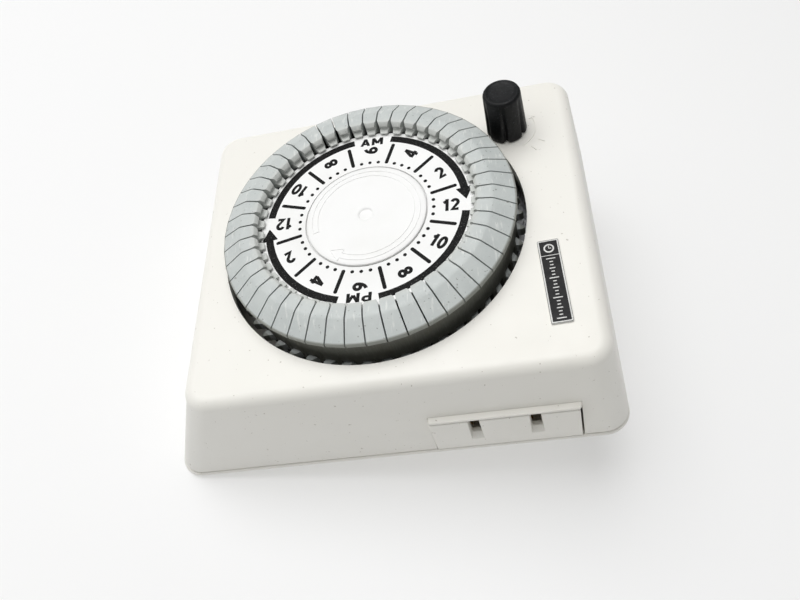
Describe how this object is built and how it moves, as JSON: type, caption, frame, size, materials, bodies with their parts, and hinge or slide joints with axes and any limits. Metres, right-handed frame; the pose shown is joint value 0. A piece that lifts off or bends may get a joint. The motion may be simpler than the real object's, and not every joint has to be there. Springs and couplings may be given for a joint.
{
  "type": "plug-in mechanical timer",
  "caption": "Square plug-in timer with a turning dial ringed by rocking trippers, an override knob, a side outlet and plug blades on the back.",
  "frame": {"origin": "centre of the plug on the back face, midway between the two blades", "axes": "+Z out of the dial, towards the room; +X up the wall when plugged in; the side outlet faces -Y"},
  "size_m": [0.1026, 0.0854, 0.055],
  "materials": {
    "white_plastic": "off-white moulded ABS, satin",
    "dial_plastic": "white, printed black",
    "tripper_plastic": "light grey moulded",
    "carrier_plastic": "black moulded",
    "knob_plastic": "black fluted",
    "gear_plastic": "natural acetal",
    "badge": "black label with white border",
    "brass": "stamped",
    "steel": "zinc plated",
    "copper": "stamped copper alloy"
  },
  "bodies": {
    "case": {"front_housing": "white_plastic", "rear_cover": "white_plastic", "outlet_insert": "white_plastic", "badge_plate": "badge", "cover_screw_1": "steel", "cover_screw_2": "steel", "cover_screw_3": "steel", "cover_screw_4": "steel", "line_blade": "brass", "neutral_blade": "brass", "line_outlet_contact": "brass", "neutral_outlet_contact": "brass", "dial_axle": "steel", "detent_spring": "steel", "fixed_contact": "copper", "motor_can": "steel", "gear_plate": "steel", "gear_axle_1": "steel", "gear_axle_2": "steel"},
    "dial": {"tripper_carrier": "carrier_plastic", "dial_face": "dial_plastic", "dial_centre_cap": "dial_plastic", "dial_gear": "gear_plastic", "pivot_ring": "steel", "tripper_bank": "tripper_plastic"},
    "knob": {"override_knob": "knob_plastic", "star_wheel": "gear_plastic", "switch_cam": "gear_plastic"},
    "switch_arm": {"contact_arm": "copper"},
    "second_gear": {"gear_2": "gear_plastic"},
    "first_gear": {"gear_1": "gear_plastic"},
    "motor_rotor": {"motor_pinion": "brass"},
    "rocker_01": {"tripper_01": "tripper_plastic"},
    "rocker_02": {"tripper_02": "tripper_plastic"},
    "rocker_03": {"tripper_03": "tripper_plastic"},
    "rocker_04": {"tripper_04": "tripper_plastic"},
    "rocker_05": {"tripper_05": "tripper_plastic"},
    "rocker_06": {"tripper_06": "tripper_plastic"},
    "rocker_07": {"tripper_07": "tripper_plastic"},
    "rocker_08": {"tripper_08": "tripper_plastic"},
    "rocker_09": {"tripper_09": "tripper_plastic"},
    "rocker_10": {"tripper_10": "tripper_plastic"},
    "rocker_11": {"tripper_11": "tripper_plastic"},
    "rocker_12": {"tripper_12": "tripper_plastic"},
    "rocker_13": {"tripper_13": "tripper_plastic"},
    "rocker_14": {"tripper_14": "tripper_plastic"},
    "rocker_15": {"tripper_15": "tripper_plastic"},
    "rocker_16": {"tripper_16": "tripper_plastic"},
    "rocker_17": {"tripper_17": "tripper_plastic"},
    "rocker_18": {"tripper_18": "tripper_plastic"},
    "rocker_19": {"tripper_19": "tripper_plastic"},
    "rocker_20": {"tripper_20": "tripper_plastic"},
    "rocker_21": {"tripper_21": "tripper_plastic"},
    "rocker_22": {"tripper_22": "tripper_plastic"},
    "rocker_23": {"tripper_23": "tripper_plastic"},
    "rocker_24": {"tripper_24": "tripper_plastic"}
  },
  "joints": [
    {"name": "dial_turn", "type": "hinge", "parent": "case", "child": "dial", "pos_m": [-0.0245, 0.0015, 0.0312], "axis": [0, 0, 1], "continuous": true},
    {"name": "knob_turn", "type": "hinge", "parent": "case", "child": "knob", "pos_m": [0.008, 0.0246, 0.038], "axis": [0, 0, 1], "continuous": true},
    {"name": "contact_arm_flex", "type": "hinge", "parent": "case", "child": "switch_arm", "pos_m": [0.0165, 0.0086, 0.0162], "axis": [0, 0, -1], "range_deg": [0, 3.6], "stiffness_Nm_per_rad": 0.02},
    {"name": "second_gear_turn", "type": "hinge", "parent": "case", "child": "second_gear", "pos_m": [-0.00348, -0.01069, 0.016], "axis": [0, 0, 1], "continuous": true},
    {"name": "first_gear_turn", "type": "hinge", "parent": "case", "child": "first_gear", "pos_m": [-0.01456, -0.00873, 0.014], "axis": [0, 0, 1], "continuous": true},
    {"name": "motor_rotor_turn", "type": "hinge", "parent": "case", "child": "motor_rotor", "pos_m": [-0.02564, -0.01069, 0.013], "axis": [0, 0, 1], "continuous": true},
    {"name": "tripper_01_rock", "type": "hinge", "parent": "dial", "child": "rocker_01", "pos_m": [0.00289, 0.00732, 0.027], "axis": [-0.2079, 0.9781, 0], "range_deg": [0, 8]},
    {"name": "tripper_02_rock", "type": "hinge", "parent": "dial", "child": "rocker_02", "pos_m": [0.00045, 0.01421, 0.027], "axis": [-0.454, 0.891, 0], "range_deg": [0, 8]},
    {"name": "tripper_03_rock", "type": "hinge", "parent": "dial", "child": "rocker_03", "pos_m": [-0.00369, 0.02024, 0.027], "axis": [-0.6691, 0.7431, 0], "range_deg": [0, 8]},
    {"name": "tripper_04_rock", "type": "hinge", "parent": "dial", "child": "rocker_04", "pos_m": [-0.00925, 0.02498, 0.027], "axis": [-0.8387, 0.5446, 0], "range_deg": [0, 8]},
    {"name": "tripper_05_rock", "type": "hinge", "parent": "dial", "child": "rocker_05", "pos_m": [-0.01585, 0.02813, 0.027], "axis": [-0.9511, 0.309, 0], "range_deg": [0, 8]},
    {"name": "tripper_06_rock", "type": "hinge", "parent": "dial", "child": "rocker_06", "pos_m": [-0.02303, 0.02946, 0.027], "axis": [-0.9986, 0.0523, 0], "range_deg": [0, 8]},
    {"name": "tripper_07_rock", "type": "hinge", "parent": "dial", "child": "rocker_07", "pos_m": [-0.03032, 0.02889, 0.027], "axis": [-0.9781, -0.2079, 0], "range_deg": [0, 8]},
    {"name": "tripper_08_rock", "type": "hinge", "parent": "dial", "child": "rocker_08", "pos_m": [-0.03721, 0.02645, 0.027], "axis": [-0.891, -0.454, 0], "range_deg": [0, 8]},
    {"name": "tripper_09_rock", "type": "hinge", "parent": "dial", "child": "rocker_09", "pos_m": [-0.04324, 0.02231, 0.027], "axis": [-0.7431, -0.6691, 0], "range_deg": [0, 8]},
    {"name": "tripper_10_rock", "type": "hinge", "parent": "dial", "child": "rocker_10", "pos_m": [-0.04798, 0.01675, 0.027], "axis": [-0.5446, -0.8387, 0], "range_deg": [0, 8]},
    {"name": "tripper_11_rock", "type": "hinge", "parent": "dial", "child": "rocker_11", "pos_m": [-0.05113, 0.01015, 0.027], "axis": [-0.309, -0.9511, 0], "range_deg": [0, 8]},
    {"name": "tripper_12_rock", "type": "hinge", "parent": "dial", "child": "rocker_12", "pos_m": [-0.05246, 0.00297, 0.027], "axis": [-0.0523, -0.9986, 0], "range_deg": [0, 8]},
    {"name": "tripper_13_rock", "type": "hinge", "parent": "dial", "child": "rocker_13", "pos_m": [-0.05189, -0.00432, 0.027], "axis": [0.2079, -0.9781, 0], "range_deg": [0, 8]},
    {"name": "tripper_14_rock", "type": "hinge", "parent": "dial", "child": "rocker_14", "pos_m": [-0.04945, -0.01121, 0.027], "axis": [0.454, -0.891, 0], "range_deg": [0, 8]},
    {"name": "tripper_15_rock", "type": "hinge", "parent": "dial", "child": "rocker_15", "pos_m": [-0.04531, -0.01724, 0.027], "axis": [0.6691, -0.7431, 0], "range_deg": [0, 8]},
    {"name": "tripper_16_rock", "type": "hinge", "parent": "dial", "child": "rocker_16", "pos_m": [-0.03975, -0.02198, 0.027], "axis": [0.8387, -0.5446, 0], "range_deg": [0, 8]},
    {"name": "tripper_17_rock", "type": "hinge", "parent": "dial", "child": "rocker_17", "pos_m": [-0.03315, -0.02513, 0.027], "axis": [0.9511, -0.309, 0], "range_deg": [0, 8]},
    {"name": "tripper_18_rock", "type": "hinge", "parent": "dial", "child": "rocker_18", "pos_m": [-0.02596, -0.02646, 0.027], "axis": [0.9986, -0.0523, 0], "range_deg": [0, 8]},
    {"name": "tripper_19_rock", "type": "hinge", "parent": "dial", "child": "rocker_19", "pos_m": [-0.01868, -0.02589, 0.027], "axis": [0.9781, 0.2079, 0], "range_deg": [0, 8]},
    {"name": "tripper_20_rock", "type": "hinge", "parent": "dial", "child": "rocker_20", "pos_m": [-0.01179, -0.02345, 0.027], "axis": [0.891, 0.454, 0], "range_deg": [0, 8]},
    {"name": "tripper_21_rock", "type": "hinge", "parent": "dial", "child": "rocker_21", "pos_m": [-0.00576, -0.01931, 0.027], "axis": [0.7431, 0.6691, 0], "range_deg": [0, 8]},
    {"name": "tripper_22_rock", "type": "hinge", "parent": "dial", "child": "rocker_22", "pos_m": [-0.00102, -0.01375, 0.027], "axis": [0.5446, 0.8387, 0], "range_deg": [0, 8]},
    {"name": "tripper_23_rock", "type": "hinge", "parent": "dial", "child": "rocker_23", "pos_m": [0.00213, -0.00715, 0.027], "axis": [0.309, 0.9511, 0], "range_deg": [0, 8]},
    {"name": "tripper_24_rock", "type": "hinge", "parent": "dial", "child": "rocker_24", "pos_m": [0.00346, 0.00003, 0.027], "axis": [0.0523, 0.9986, 0], "range_deg": [0, 8]}
  ],
  "couplings": [
    {"joint": "second_gear_turn", "follows": "dial_turn", "ratio": -8},
    {"joint": "first_gear_turn", "follows": "dial_turn", "ratio": 32},
    {"joint": "motor_rotor_turn", "follows": "dial_turn", "ratio": -128}
  ]
}
